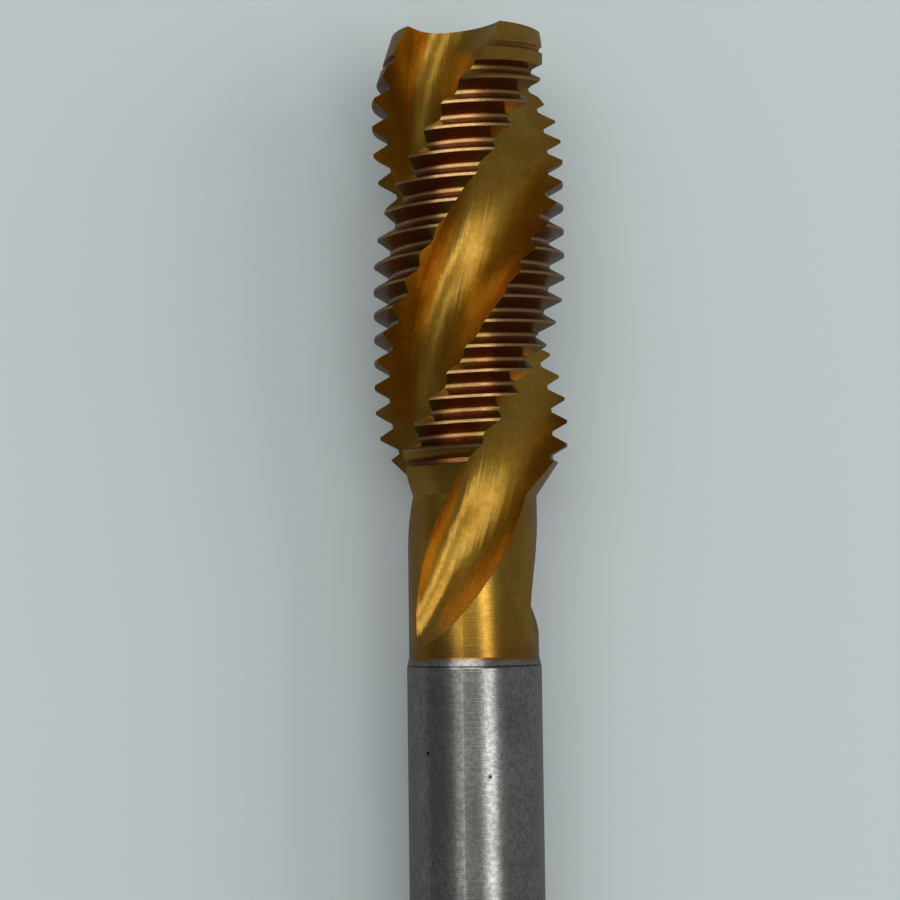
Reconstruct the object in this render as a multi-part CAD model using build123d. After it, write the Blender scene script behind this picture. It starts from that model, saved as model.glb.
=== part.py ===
"""A machine tap for M10 x 1.25, three right-hand spiral flutes, lying on its side.

The tap is one bar of high-speed steel. It is modelled first along its own axis, with
the point at zero and the shank towards +Z, and is then laid down as it comes to rest.
"""
from build123d import *
import math
import os

# Thread
thread_pitch = 1.25
crest_diameter = 10.05
crest_flat_share = 1 / 8          # of the pitch
root_flat_share = 1 / 6           # of the pitch
flank_angle = 60.0                # between the two flanks of one groove
thread_length = 24.3              # point to the small end of the back cone
back_cone_angle = 34.0            # between the back cone and the axis
thread_start = 0.78               # first crest behind the point, in line with the first flute

# Cutting chamfer
tip_diameter = 7.9
chamfer_length = 3.3
chamfer_relief = 0.15             # how far the heel of each chamfered land drops

# Flutes
flute_count = 3
flute_lead = 41.6                 # length of one full turn
flute_opening = 68.8              # degrees, between the cutting edge and the next heel
core_diameter = 3.1
rake_angle = 14.0                 # between the cutting face and the radius
ridge_turn = 17.0                 # degrees from the flute's middle to the ridge in its floor
heel_radius = 4.2
flute_full_length = 25.6          # point to where the wheel starts to lift
run_out_radius = 10.0             # of the path on which the wheel lifts
run_out_lean = 16.0               # degrees, towards the heel
run_out_sections = 5

# Neck, shank and driving square
neck_diameter = 6.75
neck_end = 32.6
shank_diameter = 7.0
shank_start = 33.15
overall_length = 75.0
end_bevel = 0.5
square_size = 5.5                 # across flats
square_length = 8.0

# How it lies, in degrees
flute_roll = -14.1                # the first flute at the point, clockwise from straight up
square_turn = 55.7                # from that flute round to the middle of a flat

# Clearance by which the cutting tools pass the steel
overcut = 0.1
lift_clear = 0.4                  # of the wheel over the shank at the end of a flute
mouth_margin = 8.0                # degrees of the heel arc beyond the crest
groove_margin = 23.0              # degrees of each groove beyond its land, at both ends

crest_radius = crest_diameter / 2
core_radius = core_diameter / 2
neck_radius = neck_diameter / 2
shank_radius = shank_diameter / 2
flank_slope = math.tan(math.radians(flank_angle / 2))
root_flat = root_flat_share * thread_pitch
thread_depth = thread_pitch * (1 - crest_flat_share - root_flat_share) / (2 * flank_slope)
root_radius = crest_radius - thread_depth
back_cone_length = (crest_radius - neck_radius) / math.tan(math.radians(back_cone_angle))
full_thread_end = thread_length - back_cone_length


def polar(radius, degrees):
    """A point in the section plane."""
    return Vector(radius * math.cos(math.radians(degrees)), radius * math.sin(math.radians(degrees)))


def on_axis(shape, along, turn):
    """The shape turned about the tap's axis and slid along it."""
    return shape.moved(Location((0, 0, along), (0, 0, turn)))


def flute_turn(along):
    """How far the flutes have turned at this distance from the point, in degrees."""
    return 360 * along / flute_lead


def turned_blank():
    """The bar as it leaves the lathe: thread size, back cone, neck and shank."""
    outline = Polyline(
        (0, 0),
        (crest_radius, 0),
        (crest_radius, full_thread_end),
        (neck_radius, thread_length),
        (neck_radius, neck_end),
        (shank_radius, shank_start),
        (shank_radius, overall_length - end_bevel),
        (shank_radius - end_bevel, overall_length),
        (0, overall_length),
        close=True,
    )
    return revolve(Plane.XZ * make_face(outline), Axis.Z)


def square_cutters():
    """Four blocks that mill the driving square on the end of the shank."""
    block = Box(shank_diameter, 2 * shank_diameter, square_length + overcut,
                align=(Align.MIN, Align.CENTER, Align.MIN))
    block = Pos(square_size / 2, 0, overall_length - square_length) * block
    return [on_axis(block, 0, square_turn + 90 * side) for side in range(4)]


def flute_section(lift=0.0):
    """One flute cut square to the axis, its middle on +X, the cutting face on the +Y side.

    The face leans back from the cutting edge in a straight line and runs into an arc that
    touches the core. There it meets the larger arc of the heel side in a low ridge.
    """
    half_opening = flute_opening / 2
    edge = polar(crest_radius, half_opening)
    heel = polar(crest_radius, -half_opening)
    ridge_way = polar(1, ridge_turn)
    ridge = ridge_way * core_radius
    down_face = polar(1, half_opening + 180 - rake_angle)
    off_face = polar(1, half_opening + 270 - rake_angle)
    foot_radius = (core_radius * ridge_way.dot(off_face) - edge.dot(off_face)) / (
        1 - ridge_way.dot(off_face))
    foot_centre = ridge_way * (core_radius + foot_radius)
    face_foot = foot_centre - off_face * foot_radius
    to_foot = (face_foot - foot_centre).normalized() + (ridge - foot_centre).normalized()
    foot_middle = foot_centre + to_foot.normalized() * foot_radius
    span = heel - ridge
    off_span = Vector(span.Y, -span.X).normalized()
    heel_centre = ridge + span / 2 - off_span * math.sqrt(heel_radius**2 - (span.length / 2) ** 2)
    heel_middle = heel_centre + off_span * heel_radius
    past_heel = heel_centre + (heel - heel_centre).rotate(Axis.Z, mouth_margin)
    past_edge = edge - down_face * (past_heel - heel).length
    mouth = crest_radius + core_radius
    outline = Wire([
        Edge.make_line(past_edge, face_foot),
        Edge.make_three_point_arc(face_foot, foot_middle, ridge),
        Edge.make_three_point_arc(ridge, heel_middle, past_heel),
        Edge.make_line(past_heel, Vector(mouth, past_heel.Y)),
        Edge.make_line(Vector(mouth, past_heel.Y), Vector(mouth, past_edge.Y)),
        Edge.make_line(Vector(mouth, past_edge.Y), past_edge),
    ])
    return outline.moved(Location(polar(lift, -run_out_lean)))


def flute_cutter():
    """The full-depth length of one flute, a section twisted along the axis."""
    start = -overcut
    length = flute_full_length - start
    section = on_axis(flute_section(), start, flute_turn(start))
    return Solid.extrude_linear_with_rotation(
        Face(section), (0, 0, start), (0, 0, length), flute_turn(length))


def run_out_cutter():
    """The end of one flute, where the wheel lifts out of the neck along an arc."""
    highest = shank_radius - core_radius + lift_clear
    length = math.sqrt(2 * run_out_radius * highest)
    sections = []
    for section in range(run_out_sections):
        gone = length * section / (run_out_sections - 1)
        along = flute_full_length + gone
        lift = gone**2 / (2 * run_out_radius)
        sections.append(on_axis(flute_section(lift), along, flute_turn(along)))
    return Solid.make_loft(sections)


def land_middle(land, along):
    """Where the middle of a land lies at this distance from the point, in degrees."""
    return 180 / flute_count + 360 * land / flute_count + flute_turn(along)


def relief_cutter(land):
    """Grinds the chamfer on one land, from an axis shifted so that the heel drops."""
    land_width = 360 / flute_count - flute_opening
    shift = chamfer_relief / (2 * math.sin(math.radians(land_width / 2)))
    sweep = land_width + flute_turn(chamfer_length) + flute_opening / 2
    middle = land_middle(land, chamfer_length / 2)
    slope = (crest_diameter - tip_diameter) / 2 / chamfer_length
    reach = crest_radius + thread_depth
    wedge = Polyline(
        (tip_diameter / 2 - slope * overcut, -overcut),
        (reach, -overcut),
        (reach, (reach - tip_diameter / 2) / slope),
        close=True,
    )
    ring = revolve(Plane.XZ * make_face(wedge), Axis.Z, revolution_arc=sweep)
    ring = on_axis(ring, 0, middle - sweep / 2)
    return ring.moved(Location(polar(shift, middle - 90)))


def groove_cutter():
    """The gap between two teeth of a land: a short piece of the thread's groove."""
    land_width = 360 / flute_count - flute_opening
    arc = land_width + 2 * groove_margin
    helix = Edge.make_helix(thread_pitch, thread_pitch * arc / 360, root_radius)
    half_root = root_flat / 2
    half_mouth = half_root + (thread_depth + overcut) * flank_slope
    outline = Wire.make_polygon([
        Vector(root_radius, 0, -half_root),
        Vector(root_radius, 0, half_root),
        Vector(crest_radius + overcut, 0, half_mouth),
        Vector(crest_radius + overcut, 0, -half_mouth),
    ])
    groove = Solid.sweep(outline, Wire([helix]), is_frenet=True)
    return on_axis(groove, -thread_pitch * arc / 720, -arc / 2)


def groove_places():
    """Where the grooves cross the middle of each land: (distance from the point, turn)."""
    turns = math.ceil(thread_length / thread_pitch)
    places = []
    for land in range(flute_count):
        for turn in range(-flute_count, turns + flute_count):
            on_first_line = thread_start + thread_pitch * (turn + land_middle(land, 0) / 360 - 0.5)
            along = on_first_line / (1 - thread_pitch / flute_lead)
            if -thread_pitch < along < thread_length:
                places.append((along, land_middle(land, along)))
    return places


def machined_tap():
    """The tap along its own axis, with the point at zero."""
    tap = turned_blank() - square_cutters()
    flute = flute_cutter()
    run_out = run_out_cutter()
    for number in range(flute_count):
        turn = 360 * number / flute_count
        tap = tap - on_axis(flute, 0, turn)
        tap = tap - on_axis(run_out, 0, turn)
        tap = tap - relief_cutter(number)
    groove = groove_cutter()
    for along, turn in groove_places():
        tap = tap - on_axis(groove, along, turn)
    return tap


def lowest_tooth():
    """Distance from the point to the last cutting edge that crosses the underside."""
    edge_spacing = flute_lead / flute_count
    turn_left = (180 + flute_roll - flute_opening / 2) % (360 / flute_count)
    first = flute_lead * turn_left / 360
    return first + edge_spacing * math.floor((full_thread_end - first) / edge_spacing)


def laid_down(tap):
    """Turns the point to +Y and tips the axis until the teeth and the shank both touch."""
    shank_touch = overall_length - square_length
    rise = (crest_radius - shank_radius) / (shank_touch - lowest_tooth())
    level = Plane(origin=(0, 0, 0), x_dir=(0, 0, 1), z_dir=(0, -1, 0))
    lying = level.location * Rot(0, 0, -flute_roll) * tap
    lying = Rot(math.degrees(math.asin(rise)), 0, 0) * lying
    box = lying.bounding_box()
    return Pos(-box.center().X, -box.center().Y, -box.min.Z) * lying


os.makedirs("parts", exist_ok=True)
export_step(laid_down(machined_tap()), "parts/tap.step")
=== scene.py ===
import bpy
import math
from mathutils import Matrix, Vector

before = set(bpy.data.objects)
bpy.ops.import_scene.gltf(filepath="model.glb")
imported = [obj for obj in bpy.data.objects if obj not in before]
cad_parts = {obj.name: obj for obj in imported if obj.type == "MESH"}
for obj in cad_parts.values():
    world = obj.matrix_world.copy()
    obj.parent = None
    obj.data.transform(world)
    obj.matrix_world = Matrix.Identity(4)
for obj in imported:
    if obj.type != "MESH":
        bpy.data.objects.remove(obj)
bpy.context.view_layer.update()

# ---------------------------------------------------------------------------
# A spiral-fluted thread tap, lying on a pale table. Lengths are in millimetres
# along or about the tap's own axis, counted from its cutting tip, and angles
# are in degrees, unless a comment says otherwise.
# ---------------------------------------------------------------------------
MM = 0.001

# How it lies: the axis falls a little from the tip to the shank's end
axis_fall = 0.029438          # of each millimetre along the axis
to_shank = Vector((0.0, -math.sqrt(1 - axis_fall ** 2), -axis_fall))
sideways = Vector((1.0, 0.0, 0.0))
upward = sideways.cross(-to_shank)
tip_centre = Vector((0.0, 37.465, 5.520)) * MM

# Sizes of the tap that its finish follows
crest_radius = 5.025
root_radius = 4.258
neck_radius = 3.375
tip_radius = 3.95
thread_pitch = 1.25
thread_start = 0.78           # first crest, in line with the first flute
chamfer_length = 3.3
back_cone_start = 21.85
thread_end = 24.3
run_out_end = 32.0
square_start = 67.0
flute_lead = 41.6
flute_count = 3
flute_at_tip = -14.1          # from straight up to the middle of the first flute
flute_half_opening = 34.4
rake = 14.0
heel_lean_at_root = -1.5

# Where the finish changes
land_edge = 0.1, 0.5          # past the flute's edge, where a land begins and is whole
land_foot = 0.3, 0.1          # the same, counted inwards from the thread's root
last_groove = 0.6             # the grooves' finish ends this much before the thread
whole_from = 2.0, 3.5         # behind the tip, where the teeth have their full height
cone_drop = 0.3, 0.1          # of the back cone, where no tooth and where a whole one is left
highlight_line_half_width = 0.075, 0.045        # of the painted highlight line on crests and roots, at its edges
crest_depth = 0.12, 0.04              # below the crest, where a crest ends and is whole
flank_shade_turn = 8.5, 5.5                # past the flute's edge, where the painted shade on the flanks turns from red to olive
coating_end = 32.75
coating_waver = 0.5
coating_blur = 0.12
heat_band = 1.3, 0.3          # before the coating's end
step_shade = 33.05             # painted shade in the corner where the ground shank begins
step_shade_half_width = 0.07, 0.03
step_shade_strength = 0.8
steel_mottling = 0.6, 0.2     # how much the matt spots show on the shank and on the square
pits = ((0.45, 3.47, 38.55), (-2.60, 2.34, 37.4))     # aside, up and along
pit_radius = 0.13, 0.07
wall_blend = 3.0              # inwards from the flute's edge, to where its strokes are whole
run_out_blend = 1.0
neck_skin = 0.02, 0.08        # under the neck's surface, where a run-out begins and is whole
cone_blend = 0.2
square_blend = 0.1

# How many of each mark to the millimetre
clouds_per_mm = 0.45          # clouds of tone, 2.2 mm across
spots_per_mm = 4.0            # matt spots, 0.25 mm across
rings_per_mm = 14.0           # grinding lines round the body, drawn at 0.07 mm so that they show
ring_length_per_mm = 0.35     # each runs some 3 mm round
strokes_per_mm = 2.5          # wheel strokes in the flutes, 0.4 mm apart
strokes_per_degree = 0.16     # the same round the axis
stroke_length_per_mm = 0.12   # each runs some 8 mm along
mills_per_mm = 2.6            # milling marks across the square, 0.4 mm apart
mill_length_per_mm = 0.1
mark_detail = 3.0             # finer steps in each mark
spot_detail = 2.5
spot_crispness = 0.65

# From which to which value of its noise a pattern goes from one tone to the other
coating_clouds = 0.40, 0.62
steel_clouds = 0.35, 0.65
spot_range = 0.38, 0.64

# Gloss, typical of ground tool steel, and duller where the flutes' wheel is coarser
body_roughness = 0.21
flute_roughness = 0.29
spot_roughness = 0.10         # added by a matt spot
film_weight = 0.65            # thin film of oil that softens the shine
film_roughness = 0.25

# Relief of the marks, as shares of its depth
relief_depth = 0.02
relief_strength = 0.5
ring_height = 0.7
mill_height = 1.6
stroke_height = 3.2
spot_height = 0.14            # on the ground body
fine_spot_height = 0.03       # in the flutes and on the square


def on_axis(along):
    return tip_centre + to_shank * (along * MM)


def linear(code):
    """A colour given as sRGB hex, as the shader wants it."""
    values = [int(code[i:i + 2], 16) / 255 for i in (0, 2, 4)]
    return [v / 12.92 if v <= 0.04045 else ((v + 0.055) / 1.055) ** 2.4 for v in values] + [1.0]


# ---- camera: nearly straight down, as the tap lies --------------------------
picture_px = 900
focal_px = 2108.0
sensor_width = 36.0
camera_height = 110.0         # above the axis
camera_over = 29.9            # along the axis
camera_lean = math.radians(4.6)
aim_along = 21.84
aim_left = 1.117
picture_turn = math.radians(0.745)

to_camera = upward * math.cos(camera_lean) - sideways * math.sin(camera_lean)
camera_place = on_axis(camera_over) + to_camera * (camera_height * MM)
across = (-to_shank).cross(to_camera)
look = (on_axis(aim_along) - across * (aim_left * MM) - camera_place).normalized()
tip_up = (-to_shank + look * to_shank.dot(look)).normalized()
picture_up = tip_up * math.cos(picture_turn) + look.cross(tip_up) * math.sin(picture_turn)
lens = bpy.data.cameras.new("camera")
lens.sensor_width = sensor_width
lens.lens = focal_px * sensor_width / picture_px
lens.clip_start = 10 * MM
camera = bpy.data.objects.new("camera", lens)
facing = Matrix((look.cross(picture_up), picture_up, -look)).transposed()
camera.matrix_world = Matrix.Translation(camera_place) @ facing.to_4x4()
bpy.context.scene.collection.objects.link(camera)
bpy.context.scene.camera = camera


# ---- one helper for every shader node ---------------------------------------
def add(tree, kind, inputs=(), output=0, **settings):
    """Adds a node, fills its inputs with values or links, and hands back one output."""
    made = tree.nodes.new("ShaderNode" + kind)
    for name, value in settings.items():
        setattr(made, name, value)
    pairs = inputs.items() if isinstance(inputs, dict) else enumerate(inputs)
    for socket, value in pairs:
        if isinstance(value, bpy.types.NodeSocket):
            tree.links.new(value, made.inputs[socket])
        else:
            made.inputs[socket].default_value = value
    return made.outputs[output]


# Settings that many nodes share. A smooth map range goes from 0 at its second input to 1 at
# its third. A colour mix takes its share at socket 0 and its two colours at 6 and 7, a number
# mix takes its two numbers at 2 and 3.
product = {"operation": "MULTIPLY"}
total = {"operation": "ADD"}
product_and_total = {"operation": "MULTIPLY_ADD"}
difference = {"operation": "SUBTRACT"}
larger = {"operation": "MAXIMUM"}
smooth = {"interpolation_type": "SMOOTHSTEP"}
of_colours = {"output": 2, "data_type": "RGBA"}
of_numbers = {"data_type": "FLOAT"}
per_radian = 180 / math.pi


def point_on_tap(tree):
    """Where a point is: along the axis, aside, up, out from the axis and round it."""
    place = add(tree, "TexCoord", output="Object")
    place = add(tree, "VectorMath", [place, tip_centre], **difference)
    parts = []
    for way in (to_shank, sideways, upward):
        part = add(tree, "VectorMath", [place, way], output="Value", operation="DOT_PRODUCT")
        parts.append(add(tree, "Math", [part, 1 / MM], **product))
    along, side, height = parts
    spoke = add(tree, "CombineXYZ", [side, height])
    out = add(tree, "VectorMath", [spoke], output="Value", operation="LENGTH")
    around = add(tree, "Math", [side, height], operation="ARCTAN2")
    around = add(tree, "Math", [around, per_radian], **product)
    return along, side, height, out, around


def round_the_flutes(tree, along, out, around):
    """The turn from the middle of the nearest flute, and the same past its leaning walls."""
    spacing = 360 / flute_count
    turned = add(tree, "Math", [along, 360 / flute_lead, around], **product_and_total)
    turned = add(tree, "Math", [turned, flute_at_tip], **difference)
    in_flute = add(tree, "Math", [turned, spacing / 2, -spacing / 2], operation="WRAP")

    # the cutting face leans back under its edge by the rake, the heel rounds off outwards
    face_offset = crest_radius * math.sin(math.radians(rake))
    face_lean = add(tree, "Math", [face_offset, out], operation="DIVIDE")
    face_lean = add(tree, "Math", [face_lean], operation="ARCSINE")
    face_lean = add(tree, "Math", [face_lean, per_radian, -rake], **product_and_total)
    past_face = add(tree, "Math", [in_flute, face_lean], **total)
    past_face = add(tree, "Math", [past_face, -1.0], **product)
    heel_lean = add(tree, "MapRange", [out, root_radius, crest_radius, heel_lean_at_root, 0.0])
    past_heel = add(tree, "Math", [in_flute, heel_lean], **total)
    return in_flute, add(tree, "Math", [past_face, past_heel], **larger)


def thread_finish(tree, along, out, around, off_middle):
    """How much a point lies on a tooth's flank, where shade is painted, and on the painted
    highlight lines along its crest and the root between two teeth.
    """
    # the crest follows the chamfer at the tip and the cone behind the thread
    chamfer = add(tree, "MapRange", [along, 0.0, chamfer_length, tip_radius - crest_radius, 0.0])
    cone = add(tree, "MapRange", [along, back_cone_start, thread_end,
                                  0.0, neck_radius - crest_radius])
    cut_back = add(tree, "Math", [chamfer, cone], **total)
    under_crest = add(tree, "Math", [out, cut_back], **difference)
    under_crest = add(tree, "Math", [under_crest, crest_radius], **difference)

    # the lands, and the part of them where the teeth are whole
    edge_starts, edge_ends = land_edge
    beside_flute = add(tree, "MapRange", [off_middle, flute_half_opening + edge_starts,
                                          flute_half_opening + edge_ends], **smooth)
    foot_starts, foot_ends = land_foot
    above_foot = add(tree, "MapRange", [out, root_radius - foot_starts,
                                        root_radius - foot_ends], **smooth)
    before_neck = add(tree, "Math", [along, thread_end - last_groove], operation="LESS_THAN")
    on_land = add(tree, "Math", [beside_flute, above_foot], **product)
    on_land = add(tree, "Math", [on_land, before_neck], **product)
    behind_chamfer = add(tree, "MapRange", [along, *whole_from], **smooth)
    none_left, whole_left = cone_drop
    before_cone = add(tree, "MapRange", [cone, -none_left, -whole_left], **smooth)
    whole_thread = add(tree, "Math", [behind_chamfer, before_cone], **product)

    # how far a point lies from the middle of the nearest crest, along the axis
    first_crest = -thread_start - flute_at_tip * thread_pitch / 360
    from_crest = add(tree, "Math", [around, thread_pitch / 360, first_crest], **product_and_total)
    from_crest = add(tree, "Math", [along, from_crest], **total)
    from_crest = add(tree, "Math", [from_crest, thread_pitch / 2, -thread_pitch / 2],
                     operation="WRAP")
    from_crest = add(tree, "Math", [from_crest], operation="ABSOLUTE")

    # painted highlight: a thin pale line along each crest and each root
    line_gone, line_full = highlight_line_half_width
    crest_gone, crest_full = crest_depth
    crest_highlight_line = add(tree, "MapRange", [from_crest, line_gone, line_full], **smooth)
    root_highlight_line = add(tree, "MapRange", [from_crest, thread_pitch / 2 - line_gone,
                                       thread_pitch / 2 - line_full], **smooth)
    beside_highlight_line = add(tree, "MapRange", [from_crest, line_full, line_gone], **smooth)
    near_top = add(tree, "MapRange", [under_crest, -crest_gone, -crest_full], **smooth)
    below_top = add(tree, "MapRange", [under_crest, -crest_full, -crest_gone], **smooth)

    crest_highlight = on_land
    for share in (near_top, crest_highlight_line, whole_thread):
        crest_highlight = add(tree, "Math", [crest_highlight, share], **product)
    root_highlight = on_land
    for share in (root_highlight_line, whole_thread):
        root_highlight = add(tree, "Math", [root_highlight, share], **product)
    # the flanks between the teeth, where shade is painted darker and redder
    shaded_flank = add(tree, "Math", [beside_highlight_line, whole_thread], **product)
    shaded_flank = add(tree, "Math", [below_top, shaded_flank], **larger)
    shaded_flank = add(tree, "Math", [on_land, shaded_flank], **product)
    shaded_flank = add(tree, "Math", [shaded_flank, root_highlight], use_clamp=True, **difference)
    return shaded_flank, crest_highlight, root_highlight


def coating_colour(tree, along, off_middle, on_thread, cloudy, spotted):
    """Gold, with painted shade, redder, on the thread's flanks and painted highlights, paler,
    along its crests and roots.
    """
    shaded_flank, crest_highlight, root_highlight = on_thread
    cover = add(tree, "MapRange", [cloudy, *coating_clouds], **smooth)
    gold = add(tree, "Mix", {0: cover, 6: linear("d8a632"), 7: linear("c6921e")}, **of_colours)
    near_edge = [flute_half_opening + past for past in flank_shade_turn]
    # painted shade on the flanks: red, and olive nearer the flute's edge
    cover = add(tree, "MapRange", [off_middle, *near_edge], **smooth)
    flank_shade = add(tree, "Mix", {0: cover, 6: linear("8a4226"), 7: linear("7a6622")}, **of_colours)
    near_end = [coating_end - before for before in heat_band]
    heated = add(tree, "MapRange", [along, *near_end], **smooth)
    # painted shade on the flanks and painted highlight lines on crests and roots, then the heated
    # band and the spots
    for cover, strongest, colour in (
            (shaded_flank, 0.82, flank_shade),
            (crest_highlight, 0.7, linear("d8b284")),
            (root_highlight, 0.6, linear("d0a478")),
            (heated, 0.55, linear("a8641a")),
            (spotted, 0.3, linear("9a7224"))):
        share = add(tree, "Math", [cover, strongest], **product)
        gold = add(tree, "Mix", {0: share, 6: gold, 7: colour}, **of_colours)
    return gold


def bare_steel_colour(tree, place, along, on_square, cloudy, spotted):
    """Cloudy grey, with painted shade in the corner at the step and two small pits."""
    cover = add(tree, "MapRange", [cloudy, *steel_clouds], **smooth)
    steel = add(tree, "Mix", {0: cover, 6: linear("c2c0b9"), 7: linear("b0aea7")}, **of_colours)
    ground, milled = steel_mottling
    mottled = add(tree, "MapRange", {"Value": on_square, "To Min": ground, "To Max": milled})
    mottled = add(tree, "Math", [spotted, mottled], **product)
    # painted shade: a thin dark ring in the corner of the step
    off_step = add(tree, "Math", [along, step_shade], **difference)
    off_step = add(tree, "Math", [off_step], operation="ABSOLUTE")
    step_shade_share = add(tree, "MapRange", [off_step, *step_shade_half_width], **smooth)
    step_shade_share = add(tree, "Math", [step_shade_share, step_shade_strength], **product)
    marks = [(mottled, "84827c"), (step_shade_share, "3a3835")]
    for pit in pits:
        reach = add(tree, "VectorMath", [place, pit], output="Value", operation="DISTANCE")
        marks.append((add(tree, "MapRange", [reach, *pit_radius], **smooth), "23211f"))
    for share, colour in marks:
        steel = add(tree, "Mix", {0: share, 6: steel, 7: linear(colour)}, **of_colours)
    return steel


def fluted_share(tree, along, out, off_middle):
    """How much a point lies on the ground wall of a flute or of its run-out."""
    inside = add(tree, "Math", [flute_half_opening, off_middle], **difference)
    on_wall = add(tree, "MapRange", [inside, 0.0, wall_blend], **smooth)
    before_end = add(tree, "MapRange", [along, run_out_end + run_out_blend,
                                        run_out_end - run_out_blend], **smooth)
    in_thread = add(tree, "MapRange", [along, thread_end + cone_blend, thread_end], **smooth)
    under_skin = [neck_radius - skin for skin in neck_skin]
    below_neck = add(tree, "MapRange", [out, *under_skin], **smooth)
    below_neck = add(tree, "Math", [in_thread, below_neck], **larger)
    fluted = add(tree, "Math", [on_wall, before_end], **product)
    return add(tree, "Math", [fluted, below_neck], **product)


# ---- the tap's steel ----------------------------------------------------------
def coated_steel():
    """High-speed steel, ground all over, its thread end coated with a gold nitride by vapour.

    It is metal throughout. The wheel leaves it fairly bright, with fine lines that stretch the
    light across them, and matt spots where it was handled. The coating has painted shade,
    redder, between the teeth and painted highlights, paler, along crests and roots, and it
    ends in a heated brown band.
    """
    material = bpy.data.materials.new("ground_high_speed_steel_gold_coated")
    material.use_nodes = True
    tree = material.node_tree
    surface = tree.nodes["Principled BSDF"]

    along, side, height, out, around = point_on_tap(tree)
    in_flute, off_middle = round_the_flutes(tree, along, out, around)
    on_thread = thread_finish(tree, along, out, around, off_middle)
    fluted = fluted_share(tree, along, out, off_middle)
    on_square = add(tree, "MapRange", [along, square_start - square_blend,
                                       square_start + square_blend], **smooth)

    # patterns: clouds of tone, matt spots, and the lines of each tool that cut the surface
    place = add(tree, "CombineXYZ", [side, height, along])
    place_in_flute = add(tree, "CombineXYZ", [in_flute, out, along])
    cloudy = add(tree, "TexNoise", {"Vector": place, "Scale": clouds_per_mm,
                                    "Detail": mark_detail})
    speckle = add(tree, "TexNoise", {"Vector": place, "Scale": spots_per_mm,
                                     "Detail": spot_detail, "Roughness": spot_crispness})
    marks = []
    for start, marks_per_mm in (
            (place, (ring_length_per_mm, ring_length_per_mm, rings_per_mm)),
            (place_in_flute, (strokes_per_degree, strokes_per_mm, stroke_length_per_mm)),
            (place, (mill_length_per_mm, mill_length_per_mm, mills_per_mm))):
        stretched = add(tree, "VectorMath", [start, marks_per_mm], **product)
        marks.append(add(tree, "TexNoise", {"Vector": stretched, "Scale": 1.0,
                                            "Detail": mark_detail}))
    rings, strokes, milled = marks
    spotted = add(tree, "MapRange", [speckle, *spot_range], **smooth)

    gold = coating_colour(tree, along, off_middle, on_thread, cloudy, spotted)
    steel = bare_steel_colour(tree, place, along, on_square, cloudy, spotted)

    # the coating's edge wavers a little round the neck
    coat_edge = add(tree, "Math", [cloudy, coating_waver, coating_end - coating_waver / 2],
                    **product_and_total)
    past_coating = add(tree, "Math", [along, coat_edge], **difference)
    bare = add(tree, "MapRange", [past_coating, -coating_blur, coating_blur], **smooth)
    tint = add(tree, "Mix", {0: bare, 6: gold, 7: steel}, **of_colours)
    tree.links.new(tint, surface.inputs["Base Color"])

    # ground metal: fairly smooth, a little duller in the flutes and on the matt spots
    roughness = add(tree, "MapRange", {"Value": fluted, "To Min": body_roughness,
                                       "To Max": flute_roughness})
    roughness = add(tree, "Math", [speckle, spot_roughness, roughness], **product_and_total)
    tree.links.new(roughness, surface.inputs["Roughness"])
    surface.inputs["Metallic"].default_value = 1.0
    surface.inputs["Coat Weight"].default_value = film_weight
    surface.inputs["Coat Roughness"].default_value = film_roughness

    # relief: lines round the body, lengthways in the flutes and across the square, and spots
    lines_round = add(tree, "Math", [rings, ring_height], **product)
    lines_across = add(tree, "Math", [milled, mill_height], **product)
    lines_along = add(tree, "Math", [strokes, stroke_height], **product)
    grain = add(tree, "Mix", {0: on_square, 2: lines_round, 3: lines_across}, **of_numbers)
    grain = add(tree, "Mix", {0: fluted, 2: grain, 3: lines_along}, **of_numbers)
    cut_smooth = add(tree, "Math", [fluted, on_square], **larger)
    pitting = add(tree, "MapRange", {"Value": cut_smooth, "To Min": spot_height,
                                     "To Max": fine_spot_height})
    relief = add(tree, "Math", [speckle, pitting, grain], **product_and_total)
    bump = add(tree, "Bump", {"Strength": relief_strength, "Distance": relief_depth * MM,
                              "Height": relief})
    tree.links.new(bump, surface.inputs["Normal"])
    return material


finish = coated_steel()
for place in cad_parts["tap"].material_slots:
    place.material = finish

# ---- table: a board with matt paint, darker where the metal mirrors it ------
table_half = 0.6              # metres
mesh = bpy.data.meshes.new("floor")
mesh.from_pydata([(-table_half, -table_half, 0), (table_half, -table_half, 0),
                  (table_half, table_half, 0), (-table_half, table_half, 0)],
                 [], [(0, 1, 2, 3)])
floor = bpy.data.objects.new("floor", mesh)
bpy.context.scene.collection.objects.link(floor)
table = bpy.data.materials.new("matt_painted_board")
table.use_nodes = True
paint = table.node_tree.nodes["Principled BSDF"]
ray = add(table.node_tree, "LightPath", output="Is Glossy Ray")
tint = add(table.node_tree, "Mix", {0: ray, 6: linear("c5ccca"), 7: linear("6e706e")},
           **of_colours)
table.node_tree.links.new(tint, paint.inputs["Base Color"])
paint.inputs["Roughness"].default_value = 0.7
floor.data.materials.append(table)


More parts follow.
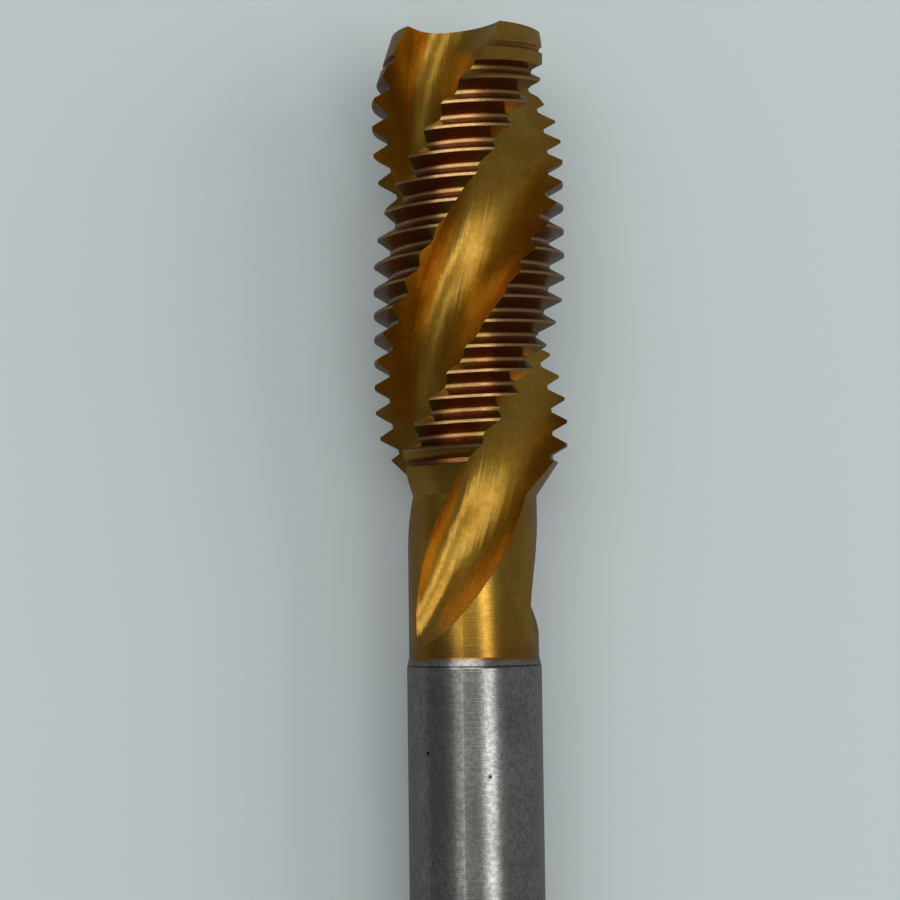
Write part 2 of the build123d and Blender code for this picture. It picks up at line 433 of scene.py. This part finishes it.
# ---- light ------------------------------------------------------------------
def lamp(name, azimuth, distance, width, length, glow, along=5.0, askew=0.0):
    """A soft box over the tap, azimuth degrees to the right of straight up.

    Its distance, width and length are in metres, and glow is its brightness. Its long way runs
    along the tap, its tip end turned askew degrees to the left.
    """
    light = bpy.data.lights.new(name, "AREA")
    light.shape = "RECTANGLE"
    light.size, light.size_y = width, length
    light.energy = glow * math.pi * width * length
    angle = math.radians(azimuth)
    out_from = upward * math.cos(angle) + sideways * math.sin(angle)
    made = bpy.data.objects.new(name, light)
    facing = Matrix(((-to_shank).cross(out_from), -to_shank, out_from)).transposed()
    facing = facing @ Matrix.Rotation(math.radians(askew), 3, "Z")
    place = on_axis(along) + out_from * distance
    made.matrix_world = Matrix.Translation(place) @ facing.to_4x4()
    bpy.context.scene.collection.objects.link(made)
    return made


# name, azimuth, distance, width, length, glow
lamp("window", 21.0, 0.45, 0.110, 0.26, 2.1, along=85.0, askew=30.0)
lamp("ceiling", -27.0, 0.45, 0.13, 0.15, 0.9, along=65.0)
lamp("soft_panel", -18.0, 0.45, 0.46, 0.20, 1.35, along=-135.0)
lamp("overhead", 0.0, 0.60, 0.35, 0.30, 0.10)
lamp("right_fill", 60.0, 0.60, 0.35, 0.50, 2.0).visible_glossy = False

# The room is pale where it lights and dim where the metal mirrors it, lighter on the right
# and towards the shank
room_glow = 0.60
mirrored_glow = 0.07, 0.175
mirrored_reach = 0.9          # of the way to each side, where the dimmest and brightest begin
world = bpy.data.worlds.new("room")
bpy.context.scene.world = world
world.use_nodes = True
room = world.node_tree
sky = room.nodes["Background"]
sky.inputs["Color"].default_value = linear("f4f9ff")
ray = add(room, "LightPath", output="Is Glossy Ray")
way = add(room, "TexCoord", output="Generated")
lighter_side = (sideways - to_shank).normalized()
facing_it = add(room, "VectorMath", [way, lighter_side], output="Value", operation="DOT_PRODUCT")
mirrored = add(room, "MapRange", [facing_it, -mirrored_reach, mirrored_reach, *mirrored_glow])
glow = add(room, "Mix", {0: ray, 2: room_glow, 3: mirrored}, **of_numbers)
room.links.new(glow, sky.inputs["Strength"])

bpy.context.scene.view_settings.view_transform = "Standard"
